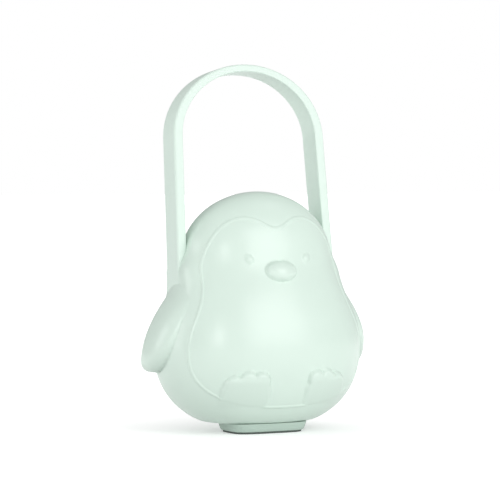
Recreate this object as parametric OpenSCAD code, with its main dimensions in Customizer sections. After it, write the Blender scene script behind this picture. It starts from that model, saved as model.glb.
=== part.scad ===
// Pacifier sterilizer case shaped like a small penguin, with a carrying loop and a back door.
// Sizes are in millimetres. X runs across the face and +Y towards the back door.
// The origin is the centre of the foot's underside, and +Z is up.

/* [Case shape] */
// Half the width of the belly
belly_r = 45; // [43:0.5:48]
// Height of the belly's widest part
belly_z = 36.3; // [35:0.1:38]
// How far the belly would rise above its widest part
belly_up = 43; // [41:0.5:46]
// How far the belly would drop below its widest part
belly_down = 35.5; // [34.5:0.5:37]
// How far the belly stands out in front
belly_front = 31.5; // [29:0.5:34]
// How far the belly stands out behind
belly_back = 31; // [30:0.5:33]
// Half the width of the head
head_r = 33; // [31:0.5:35]
// Height of the head's widest part
head_z = 71.2; // [69:0.2:74]
// Height of the crown above the head's widest part
head_up = 28.5; // [27:0.1:31]
// How far the face stands out in front
head_front = 19.5; // [18:0.1:22]
// How far the head stands out behind
head_back = 26; // [25:0.5:28]
// Squareness of the belly seen from the front, below its widest part
base_power = 2.4; // [2.2:0.1:2.8]
// Squareness of the belly's front seen from the side, below its widest part
front_power = 2.6; // [2.2:0.1:2.8]
// Squareness of the belly above its widest part, where it slopes up to the neck
shoulder_power = 1.85; // [1.7:0.05:2]
// Squareness of the belly seen from above
belly_power = 2.15; // [2.15:0.05:2.4]
// Squareness of the head seen from above
head_power = 2.1; // [2:0.05:2.3]
// Sharpness of the neck between belly and head
neck_power = 7; // [5:1:9]
// How far the case's widest plane lies behind the middle of the foot
case_y = 4.7; // [3:0.1:6]
// Wall of both shells
wall = 2; // [1.6:0.1:2.4]

/* [Face and feet] */
// How far the face and belly patch stands proud
patch_rise = 0.45; // [0.3:0.05:0.8]
// Half the width of the patch on the belly
patch_r = 40; // [37:0.5:41]
// Height of the patch's widest part
patch_z = 35.5; // [34:0.5:38]
// Rise of the patch above its widest part
patch_up = 37; // [34:1:40]
// Drop of the patch below its widest part
patch_down = 24; // [22:0.5:25]
// Radius across of each cheek of the patch
cheek_r = 18.6; // [17:0.1:20]
// Radius up and down of each cheek
cheek_rise = 24.9; // [22:0.1:26]
// Sideways place of each cheek's middle
cheek_x = 13.7; // [11:0.1:14]
// Height of each cheek's middle
cheek_z = 64.5; // [62:0.5:66]
// Radius of the hollows between the patch's round lobes
patch_blend = 10; // [4:1:12]
// Half the width of the beak
beak_r = 6.9; // [5:0.1:8]
// Half the height of the beak
beak_rise = 4.2; // [3:0.1:5]
// How far the beak stands out
beak_out = 3.4; // [2.5:0.1:4.5]
// Height of the beak
beak_z = 67.2; // [65:0.1:69]
// Radius of each eye
eye_r = 1.65; // [1.2:0.05:2.2]
// Sideways place of each eye
eye_x = 12.8; // [12:0.1:15]
// Height of each eye
eye_z = 72.6; // [71:0.1:75]
// Sideways place of each foot pad
paw_x = 18.3; // [16:0.1:20]
// Height of the middle of each foot pad
paw_z = 20; // [18:0.1:21]
// Half the width of each foot pad
paw_r = 9; // [8:0.1:10]
// Radius of the toes
toe_r = 3.1; // [2.6:0.1:3.4]

/* [Loop handle] */
// Half the distance between the loop's legs at the arch
loop_r = 33; // [31:0.5:34]
// Height of the arch above its own springing line
loop_rise = 29.4; // [27:0.2:32]
// Height of the arch's springing line
loop_z = 121.5; // [115:0.5:128]
// Outward spread of each leg, per millimetre down
loop_spread = 0.027; // [0.01:0.001:0.035]
// Backward lean of the loop in degrees
loop_lean = 7.15; // [5:0.1:8]
// How far the loop's middle lies behind the widest plane where it enters the case
loop_y = 4; // [3.5:0.1:4.5]
// Thickness of the band
band_t = 4.1; // [3.4:0.1:4.4]
// Thickness of the band at the top of the arch
band_top = 3.1; // [2.8:0.1:3.6]
// Depth of the band from front to back
band_d = 11.5; // [10:0.1:12]
// Rounding of the band's outer edges
band_round = 1; // [0.6:0.1:1.2]
// Height at which the legs end inside the case
band_end = 57; // [56.5:0.5:59]

/* [Door, seam and hinge] */
// How far the parting plane lies behind the widest plane
part_back = 13.4; // [13:0.1:14]
// Width of the seam between the two shells
seam = 0.3; // [0.2:0.05:0.5]
// Gap between parts that drop into each other
fit = 0.25; // [0.15:0.05:0.35]
// Thickness of the two inner frames
frame_t = 2; // [1.8:0.1:2.2]
// How far each frame lies from the parting plane
frame_inset = 1; // [0.9:0.1:1.1]
// Width of the front frame's rim
rim_w = 8.4; // [8.2:0.1:9]
// Height of the middle of the hinge
hinge_z = 40; // [38:0.5:42]
// Length of each outer knuckle of the hinge
knuckle_l = 7; // [6:0.5:8]
// Length of the door's knuckle
door_knuckle_l = 9.4; // [8:0.2:11]
// Gap between knuckles
knuckle_gap = 0.3; // [0.2:0.05:0.4]
// Radius of the knuckles
knuckle_r = 2.4; // [2.2:0.1:2.6]
// Radius of the hinge pin
pin_r = 1; // [0.8:0.1:1.1]
// Running clearance of the pin in the door's knuckle
pin_fit = 0.06; // [0.03:0.01:0.08]
// Length of the finger lip
lip_l = 12; // [8:1:16]
// How far the hinge axis lies behind the parting plane
hinge_back = 1.9; // [1.8:0.1:2.2]
// Thickness of the seal
seal_t = 2; // [1.8:0.1:2.1]
// Width of the seal
seal_w = 1.5; // [1.2:0.1:1.7]
// Radius of each closing magnet
magnet_r = 1.9; // [1.5:0.1:2]
// Thickness of each closing magnet
magnet_t = 1.4; // [1:0.1:1.5]

/* [Chamber] */
// Depth of the reflecting cup
cup_d = 30; // [28:0.5:30.5]
// Wall of the cup
cup_wall = 0.8; // [0.7:0.1:1]
// Squareness of the cup's side
cup_power = 2.4; // [2.2:0.1:2.5]
// Height of the cradle's tray
tray_z = 22; // [21.5:0.5:24]
// Half the width of the cradle's tray
tray_r = 9.5; // [8:0.5:10]
// Depth of the cradle's tray
tray_d = 18.5; // [15:0.5:19]
// Thickness of the cradle's plate
tray_t = 1.6; // [1.4:0.1:2]
// Height of the cradle's prongs
prong_h = 9; // [6:0.5:11]
// Radius of each prong at its foot
prong_r = 1.6; // [1.2:0.1:2]
// Width of the tray's ring
tray_ring = 4; // [3:0.5:5]

/* [Light and electronics] */
// Height of the ultraviolet window
lamp_z = 54; // [52:0.5:55]
// Radius of the quartz window
window_r = 8; // [7:0.5:8.5]
// Thickness of the quartz window
window_t = 1.2; // [1:0.1:1.4]
// Thickness of the reflector plate
mirror_t = 0.5; // [0.4:0.1:0.6]
// Radius of the lamp board
lamp_board_r = 9.5; // [9:0.1:10]
// Thickness of both circuit boards
board_t = 1.4; // [1:0.1:1.6]
// Side of each light chip
chip_w = 3.5; // [2.8:0.1:4]
// Distance of the main board behind the parting plane
board_back = 7.7; // [7.6:0.1:8]
// Half the width of the main board
board_r = 15.5; // [14:0.5:16]
// Lower edge of the main board
board_low = 26.5; // [26:0.5:27]
// Upper edge of the main board
board_high = 57; // [56.5:0.5:58]
// Width of the battery
battery_w = 26; // [20:1:27]
// Height of the battery
battery_h = 14; // [12:0.5:15]
// Thickness of the battery
battery_t = 4; // [3:0.2:4.2]
// Gap between the lamp's ring and the battery
battery_gap = 1; // [0.5:0.1:1.5]
// Height of the power button
button_z = 44; // [43.5:0.5:45]
// Radius of the power button
button_r = 5.4; // [4.5:0.1:5.8]
// Side of the push switch
switch_w = 6; // [5:0.5:7]
// Height of the push switch
switch_t = 3.4; // [3:0.1:3.5]
// Radius of the switch's plunger
plunger_r = 1.6; // [1.2:0.1:2]
// How far the plunger stands out of the switch
plunger_out = 1.2; // [1:0.1:1.3]
// How far the plunger reaches into the switch
plunger_in = 0.8; // [0.6:0.1:1]
// Radius of the light pipe
pipe_r = 1.3; // [1:0.1:1.6]
// Height of the light pipe above the button
pipe_up = 11; // [10:0.5:12]
// Width of the bezel around the button
bezel_w = 2; // [1.6:0.1:2.4]
// Travel of the power button
button_travel = 0.6; // [0.4:0.1:0.8]
// Height of the charging port
port_z = 30.6; // [30:0.2:31]
// Width of the charging socket
port_w = 8.94; // [8.9:0.01:9]
// Height of the charging socket
port_h = 3.26; // [3.2:0.01:3.3]
// Width of the port's cover
flap_w = 15.4; // [14:0.2:16]
// Height of the port's cover
flap_h = 7.6; // [7:0.1:8]
// Thickness of the port's cover
flap_t = 1.2; // [1:0.1:1.4]

/* [Foot] */
// Half the width of the foot
foot_r = 17.6; // [17:0.2:20]
// Half the depth of the foot
foot_d = 11.8; // [11:0.2:14]
// Squareness of the foot seen from above
foot_power = 3.2; // [2:0.2:4]
// Height of the foot with its pad
foot_h = 4.3; // [4:0.1:5]
// Thickness of the rubber pad
pad_t = 0.8; // [0.6:0.1:1]
// Bevel of the foot's lower edge
foot_bevel = 1; // [0.6:0.1:1.3]
// Half the distance between the foot's screws
foot_screw_x = 12; // [10:0.5:13]

/* [Screws] */
// Radius of the screw shanks
screw_r = 0.8; // [0.7:0.05:0.9]
// Radius of the screw heads
screw_head_r = 1.5; // [1.4:0.05:1.6]
// Height of the screw heads
screw_head_t = 1; // [0.8:0.1:1]
// Length of the screws
screw_l = 7; // [6:0.5:8]
// Radius of the screw bosses
boss_r = 2.2; // [2:0.1:2.4]
// Length of the front screw bosses
boss_l = 8; // [7.5:0.5:9]
// Height of the front frame's lower screws
screw_low = 21; // [20:0.5:23]
// Height of the front frame's upper screws
screw_high = 77; // [75:0.5:79]
// Length of the door's screws
door_screw_l = 5; // [4:0.5:6]
// Sideways place of the door's lower screws
door_low_x = 20; // [19:0.5:22]
// Height of the door's lower screws
door_low_z = 20; // [19:0.5:22]
// Sideways place of the door's upper screws
door_high_x = 17; // [16.5:0.5:18]
// Height of the door's upper screws
door_high_z = 71; // [69:0.5:73]
// Sideways place of the main board's screws
post_x = 12.5; // [11:0.5:13]
// Distance of the lower board screws from the board's lower edge
post_low = 3.5; // [3:0.5:5]
// Distance of the upper board screws from the board's upper edge
post_high = 15.5; // [14:0.5:17]

/* [Hidden] */

part_y = case_y + part_back;                    // the parting plane
crown_z = head_z + head_up;
floor_z = foot_h;                               // flat underside of the case
front_frame_y = part_y - frame_inset;           // back face of the front frame
rear_frame_y = part_y + frame_inset;            // front face of the rear frame
rear_depth = part_back + frame_inset + frame_t + fit; // where the rear frame's outline is taken
rim_t = fit;                                    // how far the frames' outlines lie inside the shells
cup_t = rim_t + rim_w;                          // how far the chamber's mouth lies inside the shells
seal_in = rim_t + 0.7;
hole_fit = 0.1;                                 // clearance around heads, discs and pipes
pilot_r = screw_r + 0.05;                        // holes that the screws cut their thread in
screw_in = seal_in + seal_w + screw_head_r + 0.5;
rear_boss_l = 25;                               // reaches past the rear shell's inside; the shell trims it
knuckle_root = 3;                               // how far the knuckles' blocks reach over the frames
hinge_l = 2 * knuckle_l + door_knuckle_l + 2 * knuckle_gap;
hinge_x = outline_x(hinge_z, 0, part_back) + knuckle_r + 0.7;
hinge_y = part_y + hinge_back;
board_y = part_y + board_back;
port_y = case_y + back_depth(port_z, 0); // outer surface at the port
flap_y = port_y - 0.3;                          // outer face of the port's cover
pocket_y = flap_y - flap_t - hole_fit;               // floor of the cover's pocket
button_y = case_y + back_depth(button_z, 0);
lamp_board_y = rear_frame_y + frame_t + 1.5;
lamp_ring_h = 2.5;                              // rim around the lamp board
battery_z = lamp_z + lamp_board_r + 1 + battery_gap;
pipe_z = button_z + pipe_up;
flap_hinge_x = -flap_w / 2 + flap_t / 2;
flap_hinge_y = flap_y - flap_t / 2;
pocket_gap = 0.3;                               // gap around the port's cover
pocket_wall = 1.3;                              // wall of the pocket behind the cover
loop_leg = (loop_z - band_end) / cos(loop_lean); // length of the loop's legs
mint = [0.84, 0.94, 0.89];
mint_dark = [0.72, 0.84, 0.79];
far = 200;

// One lobe of the outline, with a squareness of its own above and below its middle
function lobe(z, mid, up, down, high, low, r) =
    let (above = z > mid, t = above ? (z - mid) / up : (mid - z) / down, n = above ? high : low)
    t >= 1 ? 0 : r * pow(1 - pow(t, n), 1 / n);

function merged(a, b) = pow(pow(a, neck_power) + pow(b, neck_power), 1 / neck_power);

// Half-width and depths of the case at height z, drawn in by t
function both_lobes(z, t, high, low, belly, head) = merged(
    lobe(z, belly_z, belly_up - t, belly_down - t, high, low, belly - t),
    lobe(z, head_z, head_up - t, head_up - t, 2, 2, head - t));
function width(z, t) = both_lobes(z, t, shoulder_power, base_power, belly_r, head_r);
function front_depth(z, t) = both_lobes(z, t, shoulder_power, front_power, belly_front, head_front);
function back_depth(z, t) = both_lobes(z, t, 2, 2, belly_back, head_back);

function power(z) =
    belly_power + (head_power - belly_power) * min(1, max(0, (z - belly_z) / (head_z - belly_z)));

// Half-width of the case on a plane that lies a distance back behind the widest plane
function outline_x(z, t, back) =
    let (d = back_depth(z, t))
    d <= back ? 0 : width(z, t) * pow(1 - pow(back / d, power(z)), 1 / power(z));

// Y of the front surface at a place across and up
function face_y(x, z) =
    case_y - front_depth(z, 0)
    * pow(max(0, 1 - pow(abs(x) / width(z, 0), power(z))), 1 / power(z));

function curve(c, n) = sign(c) * pow(abs(c), 2 / n);

// Lowest and highest point of the outline on such a plane
function outline_low(t, back) = belly_z - (belly_down - t) * sqrt(1 - pow(back / (belly_back - t), 2));
function outline_high(t, back) = head_z + (head_up - t) * sqrt(1 - pow(back / (head_back - t), 2));

// Outline of the shells' inner face on such a plane, and the same drawn in squarely by t
function inner_points(back, steps) =
    let (low = outline_low(wall, back), high = outline_high(wall, back),
         z = [for (i = [0:steps]) low + (high - low) * (1 - cos(180 * i / steps)) / 2])
    concat([for (i = [0:steps - 1]) [outline_x(z[i], wall, back), z[i]]],
           [for (i = [steps:-1:1]) [-outline_x(z[i], wall, back), z[i]]]);
function outline_points(t, back, steps = 40) =
    let (p = inner_points(back, steps), n = len(p))
    [for (i = [0:n - 1])
        let (d = p[(i + 1) % n] - p[(i + n - 1) % n])
        p[i] + t * [-d[1], d[0]] / norm(d)];

// Half-width inside the shells at height z, drawn in by t
function rim_x(z, t, back) = outline_x(z, wall, back) - t;

// A closed skin of the whole case, drawn in by t, with a flat floor
module skin(t, low, rings = 28, sides = 56) {
    top = crown_z - t;
    heights = [for (i = [0:rings - 1]) low + (top - low) * (1 - cos(180 * i / rings)) / 2];
    points = [for (z = heights, j = [0:sides - 1])
        let (a = 360 * j / sides, n = power(z),
             d = sin(a) > 0 ? back_depth(z, t) : front_depth(z, t))
        [width(z, t) * curve(cos(a), n), case_y + d * curve(sin(a), n), z]];
    sides_faces = [for (i = [0:rings - 2], j = [0:sides - 1])
        [i * sides + j, (i + 1) * sides + j, (i + 1) * sides + (j + 1) % sides, i * sides + (j + 1) % sides]];
    crown_faces = [for (j = [0:sides - 1])
        [(rings - 1) * sides + j, rings * sides, (rings - 1) * sides + (j + 1) % sides]];
    polyhedron(concat(points, [[0, case_y, top]]),
        concat(sides_faces, crown_faces, [[for (j = [0:sides - 1]) j]]));
}

// A plate that follows the case's outline, standing on the plane at y and reaching back by t
module outline_plate(inset, back, y, t) {
    translate([0, y + t, 0]) rotate([90, 0, 0]) linear_extrude(t) polygon(outline_points(inset, back));
}

module outline_ring(outer, inner, back, y, t) {
    difference() {
        outline_plate(outer, back, y, t);
        outline_plate(inner, back, y - 1, t + 2);
    }
}

// Everything behind a plane, and a rod along +Y from a point
module behind(y) {
    translate([-far / 2, y, -far / 2]) cube([far, far, 2 * far]);
}

module rod(x, y, z, r, l, sides = 32) {
    translate([x, y, z]) rotate([-90, 0, 0]) cylinder(r = r, h = l, $fn = sides);
}

module both_sides() {
    children();
    mirror([1, 0, 0]) children();
}

// Places where the frames are screwed to their shells: [x, z]
front_screws = [for (z = [screw_low, screw_high], s = [-1, 1]) [s * rim_x(z, screw_in, part_back), z]];
rear_screws = [for (p = [[door_low_x, door_low_z], [door_high_x, door_high_z]], s = [-1, 1]) [s * p[0], p[1]]];

// Outline of the raised face and belly, seen from the front
module patch_outline() {
    steps = 40;
    span = patch_up + patch_down;
    z = [for (i = [0:steps]) patch_z - patch_down + span * (1 - cos(180 * i / steps)) / 2];
    x = [for (h = z) lobe(h, patch_z, patch_up, patch_down, 2, front_power, patch_r)];
    offset(r = -patch_blend) offset(r = patch_blend, $fn = 90) {
        polygon(concat([for (i = [0:steps]) [x[i], z[i]]], [for (i = [steps - 1:-1:1]) [-x[i], z[i]]]));
        for (s = [-1, 1])
            translate([s * cheek_x, cheek_z]) scale([1, cheek_rise / cheek_r]) circle(cheek_r, $fn = 60);
    }
}

module patch() {
    intersection() {
        skin(-patch_rise, floor_z);
        translate([0, case_y, 0]) rotate([90, 0, 0]) linear_extrude(far / 2) patch_outline();
    }
}

module beak() {
    corner_r = 0.8;
    core = 0.72;
    hull() {
        for (s = [-1, 1])
            translate([s * (beak_r - corner_r), face_y(beak_r, beak_z), beak_z]) sphere(corner_r, $fn = 14);
        translate([0, face_y(0, beak_z), beak_z])
            scale([core * beak_r, beak_out, beak_rise]) sphere(1, $fn = 24);
    }
}

module eye() {
    sunk = 0.5;
    translate([eye_x, face_y(eye_x, eye_z) + sunk, eye_z]) sphere(eye_r, $fn = 14);
}

// One foot pad with its three toes, pressed into the belly's curve
module paw() {
    lift = 1.3;      // how far the pad stands proud
    toe_lift = 1.4;
    toe_l = 2.5;
    toe_out = [-5.6, 0, 5.6];
    toe_up = [3.2, 4, 3.2];
    pad = [4, 2.6, 4];
    hull() {
        for (x = [-1, 1], z = [-3.5, 1.5])
            let (px = paw_x + x * (paw_r - pad[0]), pz = paw_z + z)
            translate([px, face_y(px, pz) + pad[1] - lift, pz]) scale(pad) sphere(1, $fn = 14);
    }
    for (i = [0:2])
        let (px = paw_x + toe_out[i], pz = paw_z + toe_up[i])
        hull() {
            translate([px, face_y(px, pz) + toe_r - toe_lift, pz]) sphere(toe_r, $fn = 14);
            translate([px, face_y(px, pz - toe_l) + toe_r - lift, pz - toe_l]) sphere(toe_r, $fn = 14);
        }
}

// Stations down the wing: height, then the front and the rear ball as [x, y, r],
// measured from the belly's side and from the widest plane
wing_stations = [
    [57, [-11, -9, 3], [-11, 5, 3.4]],
    [45.5, [-5, -7.5, 3.6], [-2.2, 5, 4.4]],
    [35, [-2, -4.2, 3.6], [1.1, 6, 5.1]],
    [28, [-1.4, -1.4, 2.6], [2.2, 5.5, 3]]];

module wing_balls(station) {
    for (ball = [station[1], station[2]])
        translate([belly_r + ball[0], case_y + ball[1], station[0]]) sphere(ball[2], $fn = 20);
}

module wing() {
    for (i = [0:len(wing_stations) - 2]) hull() {
        wing_balls(wing_stations[i]);
        wing_balls(wing_stations[i + 1]);
    }
}

// A boss along Y with two ribs that tie it to the side wall; it is trimmed by the shell around it
module boss(x, y, z, l) {
    reach = sign(x) * 14;
    rib = [1, l, 1.2];
    rib_rise = 3;
    rod(x, y, z, boss_r, l, 24);
    for (dz = [-1, 1]) hull() {
        translate([x, y + l / 2, z]) cube(rib, center = true);
        translate([x + reach, y + l / 2, z + rib_rise * dz]) cube(rib, center = true);
    }
}

module front_bosses() {
    for (p = front_screws) boss(p[0], front_frame_y - frame_t - boss_l, p[1], boss_l);
}

module rear_bosses() {
    for (p = rear_screws) boss(p[0], rear_frame_y + frame_t, p[1], rear_boss_l);
}

// Gap in a shell's side where the hinge knuckles pass through its edge
module hinge_notch(y0, y1, z0, z1) {
    x0 = rim_x(hinge_z, cup_t, part_back);
    translate([x0, y0, z0]) cube([hinge_x + knuckle_r + fit - x0, y1 - y0, z1 - z0]);
}

module front_shell() {
    low = hinge_z - hinge_l / 2;
    foot_boss_h = 6;
    color(mint) difference() {
        union() {
            skin(0, floor_z);
            patch();
            both_sides() { wing(); eye(); paw(); }
            beak();
        }
        difference() {
            skin(wall, floor_z + wall, 18, 36);
            front_bosses();
            for (s = [-1, 1]) rod_up(s * foot_screw_x, 0, floor_z, boss_r, foot_boss_h);
        }
        behind(part_y);
        for (z = [low, low + hinge_l - knuckle_l])
            hinge_notch(front_frame_y - frame_t - fit, part_y + 1, z - fit, z + knuckle_l + fit);
        both_sides() leg_slot();
        for (p = front_screws) rod(p[0], front_frame_y - screw_l - 1, p[1], pilot_r, far, 24);
        for (s = [-1, 1]) rod_up(s * foot_screw_x, 0, 0, pilot_r, floor_z + foot_boss_h - 1);
    }
}

module rod_up(x, y, z, r, l) {
    translate([x, y, z]) cylinder(r = r, h = l, $fn = 24);
}

// The loop stands in a plane that leans back about the line where it enters the case
module in_loop_plane() {
    translate([0, case_y + loop_y, band_end]) rotate([-loop_lean, 0, 0]) children();
}

// Places along the loop in its own plane: [x, height, outward x, outward z, thickness]
function leg_place(s, h) = [s * (loop_r + loop_spread * (loop_leg - h)), h, s, 0, band_t];
function arch_place(a) =
    let (nx = -cos(a) / loop_r, nz = sin(a) / loop_rise, n = sqrt(nx * nx + nz * nz))
    [-loop_r * cos(a), loop_leg + loop_rise * sin(a), nx / n, nz / n,
     band_t + (band_top - band_t) * pow(sin(a), 2)];

// Section of the band as [out, y]: round outer edges and softer inner ones
function band_section(t) =
    let (o = t / 2, d = band_d / 2, r = band_round, q = band_round * 0.4)
    concat(
        [for (a = [0:30:90]) [o - r + r * cos(a), d - r + r * sin(a)]],
        [for (a = [90:45:180]) [-o + q + q * cos(a), d - q + q * sin(a)]],
        [for (a = [180:45:270]) [-o + q + q * cos(a), -d + q + q * sin(a)]],
        [for (a = [270:30:360]) [o - r + r * cos(a), -d + r + r * sin(a)]]);

module band() {
    arch_steps = 30;
    leg_heights = [0, loop_leg / 3, 2 * loop_leg / 3];
    places = concat(
        [for (h = leg_heights) leg_place(-1, h)],
        [for (i = [0:arch_steps]) arch_place(180 * i / arch_steps)],
        [for (i = [2:-1:0]) leg_place(1, leg_heights[i])]);
    n = len(band_section(band_t));
    points = [for (p = places, q = band_section(p[4])) [p[0] + p[2] * q[0], q[1], p[1] + p[3] * q[0]]];
    tube = [for (i = [0:len(places) - 2], j = [0:n - 1])
        [i * n + j, i * n + (j + 1) % n, (i + 1) * n + (j + 1) % n, (i + 1) * n + j]];
    ends = [[for (j = [n - 1:-1:0]) j], [for (j = [0:n - 1]) (len(places) - 1) * n + j]];
    polyhedron(points, concat(tube, ends));
}

// Room for one leg where it passes through the shoulder
module leg_slot() {
    slot_h = 24;
    in_loop_plane()
        translate([loop_r + loop_spread * loop_leg - band_t / 2 - hole_fit, -band_d / 2 - hole_fit, -1])
        rotate([0, -atan(loop_spread), 0]) cube([band_t + 2 * hole_fit, band_d + 2 * hole_fit, slot_h]);
}

module loop_handle() {
    barb = [2, 3, 1.8];
    color(mint) {
        in_loop_plane() band();
        // barbs that keep the legs from pulling out of the shoulders
        both_sides() in_loop_plane()
            translate([loop_r + loop_spread * loop_leg - band_t / 2, -band_d / 2 - barb[1] / 2, 0]) cube(barb);
    }
}

// Outer knuckles of the hinge belong to the front frame, the middle one to the rear frame
module knuckle(z, l, bore, y0, y1, reach) {
    block_x = hinge_x - knuckle_r;
    difference() {
        union() {
            translate([hinge_x, hinge_y, z]) cylinder(r = knuckle_r, h = l, $fn = 48);
            translate([reach, y0, z]) cube([hinge_x - reach, y1 - y0, l]);
            translate([block_x, y0, z]) cube([hinge_x - block_x, hinge_y - y0, l]);
        }
        translate([hinge_x, hinge_y, z - 1]) cylinder(r = bore, h = l + 2, $fn = 48);
    }
}

module front_frame() {
    low = hinge_z - hinge_l / 2;
    reach = rim_x(hinge_z, rim_t + knuckle_root, part_back);
    color("gainsboro") difference() {
        union() {
            outline_ring(rim_t, cup_t, part_back, front_frame_y - frame_t, frame_t);
            for (z = [low, low + hinge_l - knuckle_l])
                knuckle(z, knuckle_l, pin_r, front_frame_y - frame_t, front_frame_y, reach);
        }
        for (p = front_screws) {
            rod(p[0], front_frame_y - frame_t - 1, p[1], screw_r + 2 * hole_fit, far);
            rod(p[0], front_frame_y - screw_head_t, p[1], screw_head_r + hole_fit, far);
        }
        for (s = [-1, 1])
            rod(s * magnet_x(), front_frame_y - magnet_t, hinge_z, magnet_r, far);
    }
}

function magnet_x() = rim_x(hinge_z, seal_in + seal_w + magnet_r + 0.5, rear_depth);

module magnets(y) {
    for (s = [-1, 1]) rod(s * magnet_x(), y, hinge_z, magnet_r, magnet_t, 48);
}

module case_magnets() {
    color("silver") magnets(front_frame_y - magnet_t);
}

module door_magnets() {
    color("silver") magnets(rear_frame_y);
}

// Reflecting cup: outlines that shrink towards its middle as they go forward
module cup_solid(t, d, rings = 9, steps = 22) {
    mouth = outline_points(t, part_back, steps);
    n = len(mouth);
    mid = (outline_low(wall, part_back) + outline_high(wall, part_back)) / 2;
    y0 = front_frame_y - frame_t;
    points = [for (i = [0:rings - 1], p = mouth)
        let (a = 90 * i / rings, s = pow(cos(a), 2 / cup_power))
        [p[0] * s, y0 - d * pow(sin(a), 2 / cup_power), mid + (p[1] - mid) * s]];
    walls = [for (i = [0:rings - 2], j = [0:n - 1])
        [i * n + j, (i + 1) * n + j, (i + 1) * n + (j + 1) % n, i * n + (j + 1) % n]];
    end = [for (j = [0:n - 1]) [(rings - 1) * n + j, rings * n, (rings - 1) * n + (j + 1) % n]];
    polyhedron(concat(points, [[0, y0 - d, mid]]), concat(walls, end, [[for (j = [0:n - 1]) j]]));
}

module chamber_cup() {
    color("whitesmoke") difference() {
        cup_solid(cup_t - cup_wall, cup_d);
        translate([0, 0.01, 0]) cup_solid(cup_t, cup_d - cup_wall);
    }
}

module pacifier_cradle() {
    back_y = front_frame_y;
    color("whitesmoke") {
        // tab that stands on the front frame's inner edge
        intersection() {
            translate([-tray_r, back_y - frame_t, 0]) cube([2 * tray_r, frame_t, tray_z]);
            outline_plate(cup_t + hole_fit, part_back, back_y - frame_t, frame_t);
        }
        difference() {
            union() {
                translate([-tray_r, back_y - tray_d + tray_r, tray_z - tray_t])
                    cube([2 * tray_r, tray_d - tray_r, tray_t]);
                translate([0, back_y - tray_d + tray_r, tray_z - tray_t])
                    cylinder(r = tray_r, h = tray_t, $fn = 64);
            }
            translate([0, back_y - tray_d + tray_r, 0]) cylinder(r = tray_r - tray_ring, h = far, $fn = 48);
        }
        // two prongs that stop the shield from sliding
        for (s = [-1, 1])
            translate([s * (tray_r - tray_ring / 2), back_y - tray_d + tray_r, tray_z])
            cylinder(r1 = prong_r, r2 = 0.6 * prong_r, h = prong_h, $fn = 32);
    }
}

function foot_points(inset) =
    [for (a = [0:5:355])
        [(foot_r - inset) * curve(cos(a), foot_power), (foot_d - inset) * curve(sin(a), foot_power)]];

module foot_base() {
    color(mint_dark) difference() {
        union() {
            translate([0, 0, pad_t + foot_bevel])
                linear_extrude(foot_h - pad_t - foot_bevel) polygon(foot_points(0));
            translate([0, 0, pad_t + foot_bevel / 2])
                linear_extrude(foot_bevel / 2) polygon(foot_points(foot_bevel / 3));
            translate([0, 0, pad_t]) linear_extrude(foot_bevel / 2) polygon(foot_points(foot_bevel));
        }
        for (s = [-1, 1]) {
            rod_up(s * foot_screw_x, 0, 0, screw_r + 2 * hole_fit, far);
            rod_up(s * foot_screw_x, 0, 0, screw_head_r + hole_fit, pad_t + screw_head_t);
        }
    }
}

module foot_pad() {
    border = 0.6;
    color("dimgray") linear_extrude(pad_t) polygon(foot_points(foot_bevel + border));
}

// A screw along +Z with its head at the bottom
module screw(l) {
    cylinder(r = screw_head_r, h = screw_head_t, $fn = 32);
    cylinder(r = screw_r, h = l, $fn = 32);
}

module foot_screws() {
    color("silver") for (s = [-1, 1]) translate([s * foot_screw_x, 0, pad_t]) screw(screw_l);
}

module frame_screws() {
    color("silver") for (p = front_screws)
        translate([p[0], front_frame_y, p[1]]) rotate([90, 0, 0]) screw(screw_l);
}

module door_screws() {
    color("silver") for (p = rear_screws)
        translate([p[0], rear_frame_y, p[1]]) rotate([-90, 0, 0]) screw(door_screw_l);
}

module hinge_pin() {
    color("silver") translate([hinge_x, hinge_y, hinge_z - hinge_l / 2]) cylinder(r = pin_r, h = hinge_l, $fn = 48);
}

module rear_shell() {
    door_low = hinge_z - door_knuckle_l / 2;
    color(mint) difference() {
        union() {
            skin(0, floor_z);
            pull_lip();
        }
        difference() {
            skin(wall, floor_z + wall, 18, 36);
            rear_bosses();
            around_port(pocket_gap + pocket_wall, pocket_y - pocket_wall, flap_w, flap_h);
        }
        mirror([0, 1, 0]) behind(-part_y - seam);
        hinge_notch(part_y, rear_frame_y + frame_t + fit, door_low - fit, door_low + door_knuckle_l + fit);
        for (p = rear_screws) rod(p[0], part_y, p[1], pilot_r, frame_inset + door_screw_l + seam, 24);
        // pocket and mouth of the charging port
        around_port(pocket_gap, pocket_y, flap_w, flap_h);
        around_port(2 * hole_fit, board_y, port_w, port_h);
        rod(0, board_y, button_z, button_r + bezel_w + hole_fit, far, 48);
        rod(0, board_y, pipe_z, pipe_r + hole_fit, far, 24);
    }
}

// A box around the charging port, larger than w by h all round, that reaches back from y
module around_port(margin, y, w, h) {
    translate([-w / 2 - margin, y, port_z - h / 2 - margin]) cube([w + 2 * margin, far, h + 2 * margin]);
}

// Lip on the side away from the hinge, where a finger opens the door
module pull_lip() {
    x = -outline_x(hinge_z, 0, part_back + 2);
    round = 1.6;
    out = 0.9;
    run = [2.5, 4.3];
    hull() for (z = [-lip_l / 2, lip_l / 2])
        translate([x, part_y + seam + round + hole_fit, hinge_z + z]) {
            translate([-out, 0, 0]) sphere(round, $fn = 16);
            translate([run[0], run[1], 0]) sphere(round, $fn = 16);
        }
}

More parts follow.
